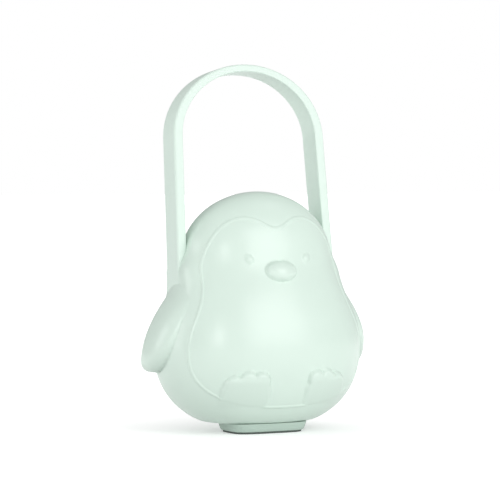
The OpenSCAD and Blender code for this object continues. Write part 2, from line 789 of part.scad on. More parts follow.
module rear_frame() {
    door_low = hinge_z - door_knuckle_l / 2;
    reach = rim_x(hinge_z, rim_t + knuckle_root, rear_depth);
    back = rear_frame_y + frame_t;
    color("gainsboro") difference() {
        union() {
            outline_plate(rim_t, rear_depth, rear_frame_y, frame_t);
            knuckle(door_low, door_knuckle_l, pin_r + pin_fit, rear_frame_y, back, reach);
            rod(0, back, lamp_z, lamp_board_r + 1, lamp_ring_h, 64);
            for (s = [-1, 1], z = post_heights()) rod(s * post_x, back, z, boss_r, board_y - back);
        }
        rod(0, rear_frame_y - 1, lamp_z, window_r - 1.5, far, 64);
        rod(0, rear_frame_y - 1, lamp_z, window_r + hole_fit, 1 + window_t, 64);
        rod(0, lamp_board_y, lamp_z, lamp_board_r + hole_fit, far, 64);
        for (p = rear_screws) {
            rod(p[0], rear_frame_y - 1, p[1], screw_r + 2 * hole_fit, frame_t + 2);
            rod(p[0], rear_frame_y - 1, p[1], screw_head_r + hole_fit, 1 + screw_head_t);
        }
        for (s = [-1, 1], z = post_heights()) rod(s * post_x, back + 1, z, pilot_r, far);
        for (s = [-1, 1]) rod(s * magnet_x(), rear_frame_y - 1, hinge_z, magnet_r, magnet_t + 1);
    }
}

function post_heights() = [board_low + post_low, board_high - post_high];

module mirror_plate() {
    border = 0.4;
    color("whitesmoke") difference() {
        outline_plate(seal_in + seal_w + border, rear_depth, rear_frame_y - mirror_t, mirror_t);
        rod(0, rear_frame_y - 2, lamp_z, window_r - 1, 4, 64);
    }
}

module quartz_window() {
    color([0.8, 0.9, 1, 0.5]) rod(0, rear_frame_y, lamp_z, window_r, window_t, 64);
}

module lamp_board() {
    color("white") rod(0, lamp_board_y, lamp_z, lamp_board_r, board_t, 64);
}

module lamp_chips() {
    chip_x = 3;
    chip_t = 1.2;
    color("gold") for (s = [-1, 1])
        translate([s * chip_x - chip_w / 2, lamp_board_y - chip_t, lamp_z - chip_w / 2])
        cube([chip_w, chip_t, chip_w]);
}

module door_seal() {
    t = seal_t - hole_fit;
    color("lightgray") outline_ring(seal_in, seal_in + seal_w, rear_depth, rear_frame_y - t, t);
}

module main_board() {
    color("seagreen") difference() {
        translate([-board_r, board_y, board_low]) cube([2 * board_r, board_t, board_high - board_low]);
        for (s = [-1, 1], z = post_heights()) rod(s * post_x, board_y - 1, z, screw_r + 2 * hole_fit, far);
    }
}

module board_screws() {
    color("silver") for (s = [-1, 1], z = post_heights())
        translate([s * post_x, board_y + board_t + screw_head_t, z]) rotate([90, 0, 0]) screw(screw_l - 1);
}

module tact_switch() {
    y = board_y + board_t;
    color("dimgray") difference() {
        translate([-switch_w / 2, y, button_z - switch_w / 2]) cube([switch_w, switch_t, switch_w]);
        rod(0, y + switch_t - plunger_in - 1, button_z, plunger_r + hole_fit, far, 32);
    }
}

module switch_plunger() {
    color("black")
        rod(0, board_y + board_t + switch_t - plunger_in, button_z, plunger_r, plunger_in + plunger_out, 32);
}

module battery() {
    y = rear_frame_y + frame_t;
    r = battery_t / 2;
    color("lightsteelblue") translate([0, y + r, battery_z]) {
        translate([-battery_w / 2 + r, -r, 0]) cube([battery_w - 2 * r, battery_t, battery_h]);
        for (s = [-1, 1]) translate([s * (battery_w / 2 - r), 0, 0]) cylinder(r = r, h = battery_h, $fn = 32);
    }
}

module usb_socket() {
    y0 = board_y + board_t;
    y1 = pocket_y - 0.2;
    shell_t = 0.3;
    tongue = [6.7, y1 - y0 - 2.4, 0.7];
    color("silver") difference() {
        translate([-port_w / 2, y0, port_z - port_h / 2]) cube([port_w, y1 - y0, port_h]);
        translate([-port_w / 2 + shell_t, y0 + 1, port_z - port_h / 2 + shell_t])
            cube([port_w - 2 * shell_t, far, port_h - 2 * shell_t]);
    }
    color("black") translate([-tongue[0] / 2, y0 + 1, port_z - tongue[2] / 2]) cube(tongue);
}

module light_pipe() {
    outer = case_y + back_depth(pipe_z, 0);
    color("white") rod(0, board_y + board_t, pipe_z, pipe_r, outer - board_y - board_t, 32);
}

module button_bezel() {
    inner = button_y - wall - 1.5;
    proud = 0.4;
    color(mint_dark) difference() {
        rod(0, inner, button_z, button_r + bezel_w, button_y + proud - inner, 64);
        rod(0, inner - 1, button_z, button_r + fit, far, 64);
    }
}

module power_button() {
    top = board_y + board_t + switch_t + plunger_out;
    cap_t = 1.8;
    stem_r = 2;
    proud = 0.3;
    cap = button_y - cap_t;
    color("white") {
        rod(0, cap, button_z, button_r, cap_t + button_travel + proud, 64);
        rod(0, top, button_z, stem_r, cap - top, 32);
    }
}

module port_cover() {
    plug = [7, 1, 2];
    color(mint) {
        translate([flap_hinge_x, flap_hinge_y, port_z - flap_h / 2]) cylinder(r = flap_t / 2, h = flap_h, $fn = 32);
        translate([flap_hinge_x, flap_y - flap_t, port_z - flap_h / 2])
            cube([flap_w - flap_t / 2, flap_t, flap_h]);
        // plug that fills the socket's mouth
        translate([-plug[0] / 2, flap_y - flap_t - plug[1], port_z - plug[2] / 2]) cube(plug);
    }
}

front_shell();
loop_handle();
front_frame();
chamber_cup();
pacifier_cradle();
foot_base();
foot_pad();
foot_screws();
frame_screws();
hinge_pin();
case_magnets();
rear_shell();
rear_frame();
mirror_plate();
quartz_window();
lamp_board();
lamp_chips();
door_seal();
door_magnets();
door_screws();
main_board();
board_screws();
tact_switch();
switch_plunger();
battery();
usb_socket();
light_pipe();
button_bezel();
power_button();
port_cover();
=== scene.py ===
import math
import bmesh
import bpy
import numpy as np
from mathutils import Matrix, Vector


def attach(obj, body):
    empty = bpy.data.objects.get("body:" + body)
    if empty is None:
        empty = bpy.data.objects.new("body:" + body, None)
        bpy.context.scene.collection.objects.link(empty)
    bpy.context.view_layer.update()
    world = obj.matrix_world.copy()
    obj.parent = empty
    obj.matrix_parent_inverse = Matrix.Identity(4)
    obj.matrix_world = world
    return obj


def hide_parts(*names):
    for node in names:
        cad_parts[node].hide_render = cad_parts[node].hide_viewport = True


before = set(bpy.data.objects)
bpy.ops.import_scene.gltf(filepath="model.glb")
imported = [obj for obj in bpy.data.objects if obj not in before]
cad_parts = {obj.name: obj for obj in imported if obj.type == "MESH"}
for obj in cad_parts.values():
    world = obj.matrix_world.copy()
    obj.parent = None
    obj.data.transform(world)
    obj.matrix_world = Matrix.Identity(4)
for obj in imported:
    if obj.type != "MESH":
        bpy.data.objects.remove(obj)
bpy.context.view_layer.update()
print("frame loaded:", len(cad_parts), "nodes")

mm = 0.001

# the case's form in millimetres: the solids' two lobes, a little flatter on the belly's front
form = dict(bellyR=45, bellyZ=36.3, bellyUp=43, bellyDown=35.5, bellyFront=30.2, bellyBack=31,
            headR=33, headZ=71.2, headUp=28.5, headFront=19.5, headBack=26,
            roundPower=2.0, basePower=2.4, frontPower=2.5, shoulderPower=1.85,
            bellyPower=2.15, facePower=2.28, headPower=2.1, neckPower=7,
            caseY=4.7, floorZ=4.3, wall=2.0, partBack=13.4, seam=0.3, centreZ=50, floorRounding=130)
# how far and how finely a ray is followed to the surface
search = dict(farthest=90.0, halvings=34, angleHalvings=30, leastDrop=1e-4, leastSize=1e-6)
partY = form["caseY"] + form["partBack"]
centre = np.array([0.0, form["caseY"], form["centreZ"]])


def lobe(z, mid, up, down, high, low, r):
    above = z > mid
    t = np.clip(np.where(above, (z - mid) / up, (mid - z) / down), 0, 1)
    n = np.where(above, high, low)
    return r * np.clip(1 - t ** n, 0, None) ** (1 / n)


def bothLobes(z, inset, high, low, belly, head):
    f = form
    n, even = f["neckPower"], f["roundPower"]
    lower = lobe(z, f["bellyZ"], f["bellyUp"] - inset, f["bellyDown"] - inset, high, low, belly - inset)
    upper = lobe(z, f["headZ"], f["headUp"] - inset, f["headUp"] - inset, even, even, head - inset)
    return (lower ** n + upper ** n) ** (1 / n)


def halfWidth(z, inset=0.0):
    f = form
    return bothLobes(z, inset, f["shoulderPower"], f["basePower"], f["bellyR"], f["headR"])


def frontDepth(z, inset=0.0):
    f = form
    return bothLobes(z, inset, f["shoulderPower"], f["frontPower"], f["bellyFront"], f["headFront"])


def backDepth(z, inset=0.0):
    f = form
    return bothLobes(z, inset, f["roundPower"], f["roundPower"], f["bellyBack"], f["headBack"])


def squareness(z, power=form["bellyPower"]):
    t = np.clip((z - form["bellyZ"]) / (form["headZ"] - form["bellyZ"]), 0, 1)
    return power + (form["headPower"] - power) * t


def bodyLevel(p, inset=0.0):
    # below 1 inside the case, above 1 outside it
    x, y, z = np.abs(p[:, 0]), p[:, 1] - form["caseY"], p[:, 2]
    n = np.where(y > 0, squareness(z), squareness(z, form["facePower"]))
    width = np.maximum(halfWidth(z, inset), search["leastSize"])
    depth = np.where(y > 0, backDepth(z, inset), frontDepth(z, inset))
    return (x / width) ** n + (np.abs(y) / np.maximum(depth, search["leastSize"])) ** n


def surfaceReach(ray, inset=0.0):
    # distance from the case's middle to its surface along each ray
    low, high = np.zeros(len(ray)), np.full(len(ray), search["farthest"])
    for _ in range(search["halvings"]):
        half = (low + high) / 2
        inside = bodyLevel(centre + ray * half[:, None], inset) < 1
        low, high = np.where(inside, half, low), np.where(inside, high, half)
    k = form["floorRounding"]
    drop = np.maximum(-ray[:, 2], search["leastDrop"])
    toFloor = (form["centreZ"] - form["floorZ"] - inset) / drop
    return (low ** -k + toFloor ** -k) ** (-1 / k)


def rayTowards(side, theta, phi):
    # side is -1 for rays to the face and 1 for rays to the door
    across = np.sin(theta)
    return np.stack([across * np.cos(phi), side * np.cos(theta), across * np.sin(phi)], 1)


def angleWhere(side, phi, test, low, high, inset=0.0):
    # the angle at which test(point) turns true, for each direction phi
    low, high = np.full(len(phi), low), np.full(len(phi), high)
    for _ in range(search["angleHalvings"]):
        half = (low + high) / 2
        ray = rayTowards(side, half, phi)
        passed = test(centre + ray * surfaceReach(ray, inset)[:, None])
        low, high = np.where(passed, low, half), np.where(passed, half, high)
    return (low + high) / 2


mergeWithin = 0.001


def sharpEdges(bm, angle):
    return [e for e in bm.edges if len(e.link_faces) == 2 and e.calc_face_angle(0) > math.radians(angle)]


def addPiece(bm, name, material, body, node, sharpAngle):
    # a piece that rides on a body and stands in for one of the solids
    for f in bm.faces:
        f.smooth = True
    for e in sharpEdges(bm, sharpAngle):
        e.smooth = False
    mesh = bpy.data.meshes.new(name)
    bm.to_mesh(mesh)
    bm.free()
    piece = bpy.data.objects.new(name, mesh)
    bpy.context.scene.collection.objects.link(piece)
    mesh.materials.append(material)
    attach(piece, body)
    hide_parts(node)


def finishPiece(bm, name, material, body, node, sharpAngle, holes=None):
    # from millimetres to the finished mesh, with holes cut by a set of solids
    bmesh.ops.remove_doubles(bm, verts=bm.verts, dist=mergeWithin)
    bmesh.ops.recalc_face_normals(bm, faces=bm.faces)
    bmesh.ops.scale(bm, vec=(mm, mm, mm), verts=bm.verts)
    if holes:
        bm = withHoles(bm, holes)
    addPiece(bm, name, material, body, node, sharpAngle)


def withHoles(bm, cutters):
    # the mesh in metres, less a set of solids in millimetres
    mesh = bpy.data.meshes.new("uncut")
    bm.to_mesh(mesh)
    bm.free()
    whole = bpy.data.objects.new("uncut", mesh)
    bpy.context.scene.collection.objects.link(whole)
    for cutter in cutters:
        bmesh.ops.recalc_face_normals(cutter, faces=cutter.faces)
        bmesh.ops.scale(cutter, vec=(mm, mm, mm), verts=cutter.verts)
        cutMesh = bpy.data.meshes.new("cut")
        cutter.to_mesh(cutMesh)
        cutter.free()
        cut = bpy.data.objects.new("cut", cutMesh)
        bpy.context.scene.collection.objects.link(cut)
        step = whole.modifiers.new("hole", "BOOLEAN")
        step.operation, step.solver, step.object = "DIFFERENCE", "EXACT", cut
    bpy.context.view_layer.update()
    result = bmesh.new()
    result.from_object(whole, bpy.context.evaluated_depsgraph_get())
    for step in list(whole.modifiers):
        cutMesh = step.object.data
        bpy.data.objects.remove(step.object)
        bpy.data.meshes.remove(cutMesh)
    bpy.data.objects.remove(whole)
    bpy.data.meshes.remove(mesh)
    return result


def boxCutter(x0, x1, y0, y1, z0, z1):
    bm = bmesh.new()
    bmesh.ops.create_cube(bm, size=1)
    bmesh.ops.scale(bm, vec=(x1 - x0, y1 - y0, z1 - z0), verts=bm.verts)
    bmesh.ops.translate(bm, vec=((x0 + x1) / 2, (y0 + y1) / 2, (z0 + z1) / 2), verts=bm.verts)
    return bm


def rodCutter(x, z, r, y0, y1, segments):
    bm = bmesh.new()
    lying = Matrix.Translation((x, (y0 + y1) / 2, z)) @ Matrix.Rotation(math.pi / 2, 4, "X")
    bmesh.ops.create_cone(bm, cap_ends=True, segments=segments, radius1=r, radius2=r, depth=y1 - y0,
                          matrix=lying)
    return bm


# millimetres and degrees
softening = dict(merge=0.01, flat=1.5, sharp=50, segments=2, mergeAfter=0.002, shading=30)


def softenedCopy(node, material, body, bevel):
    # a copy of a solid's mesh with its edges rounded
    s = softening
    bm = bmesh.new()
    bm.from_mesh(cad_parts[node].data)
    bmesh.ops.remove_doubles(bm, verts=bm.verts, dist=s["merge"] * mm)
    bmesh.ops.dissolve_limit(bm, angle_limit=math.radians(s["flat"]), verts=bm.verts, edges=bm.edges)
    bmesh.ops.bevel(bm, geom=sharpEdges(bm, s["sharp"]), offset=bevel * mm, offset_type="OFFSET",
                    affect="EDGES", segments=s["segments"], profile=0.5, material=-1, clamp_overlap=True)
    bmesh.ops.remove_doubles(bm, verts=bm.verts, dist=s["mergeAfter"] * mm)
    bmesh.ops.recalc_face_normals(bm, faces=bm.faces)
    name = "".join(w.capitalize() if k else w for k, w in enumerate(node.split("_")))
    addPiece(bm, name, material, body, node, s["shading"])


def coordinates(bm):
    return np.array([v.co[:] for v in bm.verts])


def place(bm, points):
    for v, p in zip(bm.verts, points):
        v.co = p


def polarSheet(segments, rings):
    # a flat disc whose radius and angle stand for a place on the case
    bm = bmesh.new()
    bmesh.ops.create_circle(bm, cap_ends=True, cap_tris=True, radius=rings[0], segments=segments)
    rim = [e for e in bm.edges if e.is_boundary]
    for before, after in zip(rings, rings[1:]):
        grown = bmesh.ops.extrude_edge_only(bm, edges=rim)["geom"]
        verts = [g for g in grown if isinstance(g, bmesh.types.BMVert)]
        rim = [g for g in grown if isinstance(g, bmesh.types.BMEdge) and g.is_boundary]
        bmesh.ops.scale(bm, vec=(after / before, after / before, 1), verts=verts)
    return bm


def polarPlaces(bm):
    # each vertex's ring and direction, and the list of directions with each vertex's place in it
    flat = coordinates(bm)
    t, phi = np.hypot(flat[:, 0], flat[:, 1]), np.arctan2(flat[:, 1], flat[:, 0])
    turns, which = np.unique(np.round(phi, 5), return_inverse=True)
    return t, phi, turns, which


def fillEnds(bm):
    bmesh.ops.edgeloop_fill(bm, edges=[e for e in bm.edges if e.is_boundary])


# the rings run from the middle of the patch to its edge at 1, to the seam at 2, and back inside
frontShell = dict(segments=520, patchRings=(0.05, 0.96, 62), outerRings=(1.036, 2, 70),
                  insideRings=(2.02, 2.9, 9), slack=0.001, patchAngle=85, seamAngles=(60, 150),
                  edgeRings=(0.970, 0.977, 0.983, 0.988, 0.992, 0.996, 1.0, 1.004, 1.008, 1.013, 1.018, 1.024),
                  plateau=0.12, bead=0.31, beadR=0.62, shading=55,
                  patchR=39.6, patchZ=35, patchUp=33, patchDown=23.2, patchFar=60.0, patchHalvings=40,
                  cheekR=18.3, cheekRise=26, cheekX=12.8, cheekZ=63, heartBlend=12, waistBlend=10)


def rayToEllipse(phi, cx, cz, a, b):
    # how far a ray in the front view runs from the centre before it leaves an ellipse
    dx, dz = np.cos(phi) / a, np.sin(phi) / b
    ox, oz = -cx / a, (form["centreZ"] - cz) / b
    qa, qb, qc = dx * dx + dz * dz, 2 * (ox * dx + oz * dz), ox * ox + oz * oz - 1
    return (-qb + np.sqrt(np.maximum(qb * qb - 4 * qa * qc, 0))) / (2 * qa)


def blendedMax(a, b, k):
    return np.maximum(a, b) + np.maximum(k - np.abs(a - b), 0) ** 2 / (4 * k)


def patchRadius(phi):
    # the raised patch seen from the front: the belly's lobe and two cheeks that meet in a heart
    s = frontShell
    low, high = np.zeros(len(phi)), np.full(len(phi), s["patchFar"])
    for _ in range(s["patchHalvings"]):
        half = (low + high) / 2
        z = form["centreZ"] + half * np.sin(phi)
        edge = lobe(z, s["patchZ"], s["patchUp"], s["patchDown"], form["roundPower"], form["frontPower"],
                    s["patchR"])
        inside = np.abs(half * np.cos(phi)) < edge
        low, high = np.where(inside, half, low), np.where(inside, high, half)
    left, right = (rayToEllipse(phi, side * s["cheekX"], s["cheekZ"], s["cheekR"], s["cheekRise"])
                   for side in (-1, 1))
    cheeks = np.where(np.sin(phi) > 0, blendedMax(left, right, s["heartBlend"]), np.maximum(left, right))
    return blendedMax(low, cheeks, s["waistBlend"])


def smoothStep(t):
    t = np.clip(t, 0, 1)
    return t * t * (3 - 2 * t)


def softened(height, crease):
    # eases a height in from nothing
    return height * height / (height + crease)


wing = dict(top=59, full=29.5, bottom=25.6, lift=7.9, halfD=10.6, waistZ=46, skew=0.2, crease=0.4,
            plump=3.6, edgePower=0.55, taper=3.4, tipPower=12, middleY=-1, sweep=6.0, sweepPower=1.6,
            slant=0.05, ease=0.06, risePower=0.8, fromX=20)


def wingHeight(p):
    # a pillow that fades in at the shoulder, sweeps back and ends in a blunt tip
    s = wing
    y, z = p[:, 1] - form["caseY"], p[:, 2]
    down = np.clip((s["waistZ"] - z) / (s["waistZ"] - s["bottom"]), 0, 1)
    half = s["halfD"] * np.sqrt(np.clip(1 - down ** s["taper"], search["leastSize"], None))
    middle = s["middleY"] + s["sweep"] * down ** s["sweepPower"] - s["slant"] * np.maximum(z - s["waistZ"], 0)
    u = np.clip((y - middle) / half, -1, 1)
    rise = softened(np.clip((s["top"] - z) / (s["top"] - s["full"]), 0, 1), s["ease"]) ** s["risePower"]
    lift = s["lift"] * rise * np.sqrt(np.clip(1 - down ** s["tipPower"], 0, None))
    pillow = np.clip(1 - np.abs(u) ** s["plump"], 0, None) ** s["edgePower"]
    pillow *= 1 - s["skew"] + s["skew"] * u
    return np.where(np.abs(p[:, 0]) > s["fromX"], softened(lift * pillow, s["crease"]), 0)


beak = dict(r=7.1, rise=4.2, out=3.2, z=67.2, ends=1.85, dome=0.52, crease=0.12)


def beakHeight(p):
    s = beak
    x, z = np.abs(p[:, 0]) / s["r"], np.abs(p[:, 2] - s["z"]) / s["rise"]
    return softened(s["out"] * np.clip(1 - x ** s["ends"] - z ** 2, 0, None) ** s["dome"], s["crease"])


eye = dict(r=1.8, x=13.0, z=72.2, out=1.0, crease=0.15)


def eyeHeight(p):
    s = eye
    away = np.hypot(np.abs(p[:, 0]) - s["x"], p[:, 2] - s["z"]) / s["r"]
    return softened(s["out"] * np.sqrt(np.clip(1 - away ** 2, 0, None)), s["crease"])


paw = dict(x=17.9, padR=10.0, padLow=9.0, padTop=24.4, corner=6.0, toeR=4.0, toeOut=(-5.2, 0, 5.2),
           toeZ=(22.9, 23.1, 21.6), edge=1.7, lift=1.95, fadeFrom=23, fadeTo=12)


def pawHeight(p):
    # a raised pad with three toes along its top, fading away downwards, and where it covers the bead
    s = paw
    x, z = np.abs(p[:, 0]) - s["x"], p[:, 2]
    halfZ, midZ = (s["padTop"] - s["padLow"]) / 2, (s["padTop"] + s["padLow"]) / 2
    dx = np.maximum(np.abs(x) - s["padR"] + s["corner"], 0)
    dz = np.maximum(np.abs(z - midZ) - halfZ + s["corner"], 0)
    away = np.hypot(dx, dz) - s["corner"]
    for out, up in zip(s["toeOut"], s["toeZ"]):
        away = np.minimum(away, np.hypot(x - out, z - up) - s["toeR"])
    step = np.clip(-away / s["edge"], 0, 1)
    fade = np.clip((z - s["fadeTo"]) / (s["fadeFrom"] - s["fadeTo"]), 0, 1)
    return s["lift"] * fade * np.sqrt(np.clip(1 - (1 - step) ** 2, 0, None)), step


rootFillet = dict(front=12.0, back=3.0, top=77, full=64, low=45, under=0.08)


def rootHeight(p):
    # the shoulder swells up until it is flush with the strap's outer face
    s, b = rootFillet, loop
    lean = math.radians(b["lean"])
    y, z = p[:, 1] - form["caseY"] - b["y"], p[:, 2] - b["end"]
    along = z * math.cos(lean) + y * math.sin(lean)
    across = y * math.cos(lean) - z * math.sin(lean)
    leg = (b["z"] - b["end"]) / math.cos(lean)
    face = b["r"] + b["spread"] * (leg - along) + b["thick"] / 2 - s["under"]
    short = np.where(p[:, 2] > s["low"], np.clip(face - np.abs(p[:, 0]), 0, None), 0)
    beside = (np.abs(across) - b["deep"] / 2) / np.where(across < 0, s["front"], s["back"])
    upward = smoothStep((s["top"] - p[:, 2]) / (s["top"] - s["full"]))
    return short * smoothStep(1 - beside) * upward


def buildFrontShell(material, cutters):
    s = frontShell
    rings = (list(np.linspace(*s["patchRings"])) + list(s["edgeRings"])
             + list(np.linspace(*s["outerRings"])) + list(np.linspace(*s["insideRings"])))
    bm = polarSheet(s["segments"], rings)
    t, phi, turns, which = polarPlaces(bm)
    patch = patchRadius(turns)

    def pastPatch(p):
        return np.hypot(p[:, 0], p[:, 2] - form["centreZ"]) > patch

    def pastSeam(p):
        return p[:, 1] > partY

    nearest, furthest = (math.radians(a) for a in s["seamAngles"])
    atPatch = angleWhere(-1, turns, pastPatch, 0.0, math.radians(s["patchAngle"]))[which]
    atSeam = angleWhere(-1, turns, pastSeam, nearest, furthest)[which]
    atSeamInside = angleWhere(-1, turns, pastSeam, nearest, furthest, form["wall"])[which]
    inner = t > 2 + s["slack"]
    theta = np.where(t <= 1, atPatch * t, atPatch + (atSeam - atPatch) * np.clip(t - 1, 0, 1))
    theta = np.where(inner, atSeamInside * np.clip((3 - t) / (3 - s["insideRings"][0]), 0, 1), theta)
    ray = rayTowards(-1, theta, phi)
    reach = np.where(inner, surfaceReach(ray, form["wall"]), surfaceReach(ray))
    points = centre + ray * reach[:, None]
    place(bm, points)
    bmesh.ops.recalc_face_normals(bm, faces=bm.faces)
    bm.normal_update()
    # the sheet is still open, so its normals may all point inwards
    middle = min(bm.verts, key=lambda v: v.co.y)
    if middle.normal.y > 0:
        bmesh.ops.reverse_faces(bm, faces=bm.faces)
        bm.normal_update()
    normals = np.array([v.normal[:] for v in bm.verts])
    # a fine bead runs along the edge of the raised patch
    inside = (atPatch - theta) * reach
    height = s["plateau"] * smoothStep(0.5 + inside / (2 * s["beadR"]))
    facing = points[:, 1] < form["caseY"]
    pawRise, onPaw = pawHeight(points)
    height += s["bead"] * np.sqrt(np.clip(1 - (inside / s["beadR"]) ** 2, 0, None)) * (1 - onPaw)
    height += np.where(facing, eyeHeight(points) + beakHeight(points) + pawRise, 0)
    height += np.maximum(wingHeight(points), rootHeight(points))
    height = np.where(t > 2 - s["slack"], 0, height)
    place(bm, points + normals * height[:, None])
    fillEnds(bm)
    finishPiece(bm, "frontShell", material, "case", "front_shell", s["shading"], cutters)


# the rings run from the back's middle to the seam at 1, and back inside
rearShell = dict(segments=440, rings=96, first=0.04, spacing=1.25, insideRings=(1.02, 1.9, 9), slack=0.001,
                 nearestAngle=0.1, furthestAngle=89, shading=55,
                 lipHalf=7.5, lipZ=40, lipOut=1.7, lipBack=5.5, lipEnds=4, lipFade=1.5, lipFromX=-20)


def lipHeight(p):
    # a finger lip on the side away from the hinge
    s = rearShell
    along = np.clip(1 - (np.abs(p[:, 2] - s["lipZ"]) / s["lipHalf"]) ** s["lipEnds"], 0, 1)
    back = np.clip(1 - (p[:, 1] - partY - form["seam"]) / s["lipBack"], 0, 1)
    return np.where(p[:, 0] < s["lipFromX"], s["lipOut"] * np.sqrt(along) * back ** s["lipFade"], 0)


def buildRearShell(material, cutters):
    s = rearShell
    edgeY = partY + form["seam"]
    outer = 1 - (1 - np.linspace(s["first"], 1, s["rings"])) ** s["spacing"]
    bm = polarSheet(s["segments"], list(outer) + list(np.linspace(*s["insideRings"])))
    t, phi, turns, which = polarPlaces(bm)

    def pastSeam(p):
        return p[:, 1] < edgeY

    nearest, furthest = s["nearestAngle"], math.radians(s["furthestAngle"])
    atSeam = angleWhere(1, turns, pastSeam, nearest, furthest)[which]
    atSeamInside = angleWhere(1, turns, pastSeam, nearest, furthest, form["wall"])[which]
    inner = t > 1 + s["slack"]
    theta = np.where(inner, atSeamInside * np.clip((2 - t) / (2 - s["insideRings"][0]), 0, 1), atSeam * t)
    ray = rayTowards(1, theta, phi)
    reach = np.where(inner, surfaceReach(ray, form["wall"]), surfaceReach(ray))
    points = centre + ray * reach[:, None]
    points[:, 0] += np.sign(points[:, 0]) * np.where(inner, 0, lipHeight(points))
    place(bm, points)
    fillEnds(bm)
    finishPiece(bm, "rearShell", material, "door", "rear_shell", s["shading"], cutters)


loop = dict(r=33, rise=29.37, z=121.5, spread=0.027, lean=7.15, y=4.0, thick=4.1, topThick=3.1,
            deep=11.5, edge=0.9, inner=0.5, end=57, archSteps=110, legSteps=14, cornerSteps=6, shading=50)


def roundedSection(width, depth, radii, steps):
    # corners of a rounded box, counter-clockwise from its right upper one
    points = []
    for quarter, (r, sx, sy) in enumerate(zip(radii, (1, -1, -1, 1), (1, 1, -1, -1))):
        for k in range(steps + 1):
            turn = math.radians(90 * quarter + 90 * k / steps)
            points.append((sx * (width / 2 - r) + r * math.cos(turn),
                           sy * (depth / 2 - r) + r * math.sin(turn)))
    return points


def sweep(stations, closed=False):
    # joins rings of points, one ring for each station
    bm = bmesh.new()
    count = len(stations[0])
    ring = bmesh.ops.create_circle(bm, cap_ends=not closed, radius=1, segments=count)["verts"]
    edges = list({e for v in ring for e in v.link_edges})
    order = {}
    for k, points in enumerate(stations):
        if k:
            grown = bmesh.ops.extrude_edge_only(bm, edges=edges)["geom"]
            edges = [g for g in grown
                     if isinstance(g, bmesh.types.BMEdge) and all(v in grown for v in g.verts)]
            following = {}
            for v in (g for g in grown if isinstance(g, bmesh.types.BMVert)):
                for e in v.link_edges:
                    if e.other_vert(v) in order:
                        following[order[e.other_vert(v)]] = v
            ring = [following[i] for i in range(count)]
        order = {v: i for i, v in enumerate(ring)}
        for v, p in zip(ring, points):
            v.co = p
    if closed:
        bmesh.ops.bridge_loops(bm, edges=[e for e in bm.edges if e.is_boundary])
    else:
        fillEnds(bm)
    return bm


def buildLoop(material):
    s = loop
    lean = Matrix.Translation((0, form["caseY"] + s["y"], s["end"])) @ Matrix.Rotation(
        -math.radians(s["lean"]), 4, "X")
    leg = (s["z"] - s["end"]) / math.cos(math.radians(s["lean"]))
    places = []
    for i in range(s["legSteps"]):
        h = leg * i / s["legSteps"]
        places.append((-(s["r"] + s["spread"] * (leg - h)), h, -1, 0, s["thick"]))
    for i in range(s["archSteps"] + 1):
        a = math.pi * i / s["archSteps"]
        nx, nz = -math.cos(a) / s["r"], math.sin(a) / s["rise"]
        n = math.hypot(nx, nz)
        thick = s["thick"] + (s["topThick"] - s["thick"]) * math.sin(a) ** 2
        places.append((-s["r"] * math.cos(a), leg + s["rise"] * math.sin(a), nx / n, nz / n, thick))
    places += [(-x, h, -nx, nz, w) for x, h, nx, nz, w in reversed(places[:s["legSteps"]])]
    radii = (s["edge"], s["inner"], s["inner"], s["edge"])
    stations = [[lean @ Vector((x + nx * out, y, h + nz * out))
                 for out, y in roundedSection(thick, s["deep"], radii, s["cornerSteps"])]
                for x, h, nx, nz, thick in places]
    finishPiece(sweep(stations), "carryingLoop", material, "case", "loop_handle", s["shading"])


foot = dict(r=17.6, d=11.8, power=4.2, h=4.3, pad=0.8, bevel=0.5, topBevel=0.2, draft=1.1, border=0.3,
            padBevel=0.2, padTopBevel=0.1, segments=144, bevelSteps=3, levelWithin=1e-4, shading=60)


def slab(rx, ry, power, z0, z1, bevelLow, bevelHigh, draft=0):
    # a squarish oval slab that is smaller below by its draft
    bm = bmesh.new()
    bmesh.ops.create_circle(bm, cap_ends=True, radius=1, segments=foot["segments"])
    for v in bm.verts:
        x, y = (math.copysign(abs(c) ** (2 / power), c) for c in v.co[:2])
        v.co = ((rx - draft) * x, (ry - draft) * y, z0)
    top = bmesh.ops.extrude_face_region(bm, geom=bm.faces[:])["geom"]
    upper = [g for g in top if isinstance(g, bmesh.types.BMVert)]
    bmesh.ops.scale(bm, vec=(rx / (rx - draft), ry / (ry - draft), 1), verts=upper)
    bmesh.ops.translate(bm, vec=(0, 0, z1 - z0), verts=upper)
    for level, size in ((z0, bevelLow), (z1, bevelHigh)):
        rim = [e for e in bm.edges if all(abs(v.co.z - level) < foot["levelWithin"] for v in e.verts)]
        bmesh.ops.bevel(bm, geom=rim, offset=size, affect="EDGES", segments=foot["bevelSteps"],
                        profile=0.5, material=-1)
    return bm


def buildFoot(material, padMaterial):
    s = foot
    base = slab(s["r"], s["d"], s["power"], s["pad"], s["h"], s["bevel"], s["topBevel"], s["draft"])
    finishPiece(base, "footBase", material, "case", "foot_base", s["shading"])
    inset = s["draft"] + s["bevel"] + s["border"]
    pad = slab(s["r"] - inset, s["d"] - inset, s["power"], 0, s["pad"], s["padBevel"], s["padTopBevel"])
    finishPiece(pad, "footPad", padMaterial, "case", "foot_pad", s["shading"])


